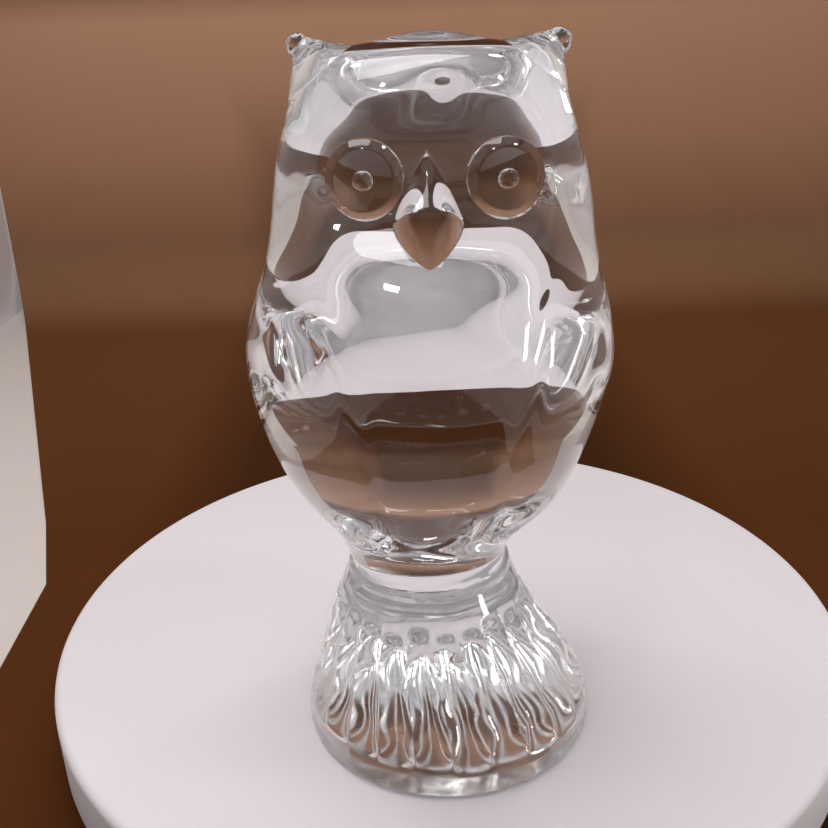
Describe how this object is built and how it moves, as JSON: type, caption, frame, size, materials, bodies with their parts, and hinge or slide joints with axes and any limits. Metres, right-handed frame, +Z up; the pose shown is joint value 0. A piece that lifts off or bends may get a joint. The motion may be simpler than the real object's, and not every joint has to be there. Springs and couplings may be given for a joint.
{
  "type": "crystal owl figurine",
  "caption": "Solid clear crystal owl with applied ear tips, eye discs, pupils and beak, bonded at the waist to a fluted glass foot that stands on a flat underside.",
  "frame": {"origin": "middle of the foot's flat underside", "axes": "+Z up through the figure, -Y the way the owl faces, +X towards the owl's left, which is on the right when seen from the front"},
  "size_m": [0.0521, 0.0501, 0.105],
  "materials": {
    "clear_crystal": "colourless lead crystal, fire polished, faintly rippled",
    "cut_crystal": "colourless lead crystal with polished vertical cuts and a plain rim",
    "applied_crystal": "colourless crystal bits applied hot, fire polished",
    "clear_adhesive": "thin clear adhesive, slightly cloudy, with small bubbles and a ragged edge"
  },
  "bodies": {
    "root": {"owl_body": "clear_crystal", "fluted_base": "cut_crystal", "base_bond": "clear_adhesive", "ear_tuft_left": "applied_crystal", "ear_tuft_right": "applied_crystal", "eye_disc_left": "applied_crystal", "eye_disc_right": "applied_crystal", "pupil_left": "applied_crystal", "pupil_right": "applied_crystal", "beak": "applied_crystal"}
  },
  "joints": []
}
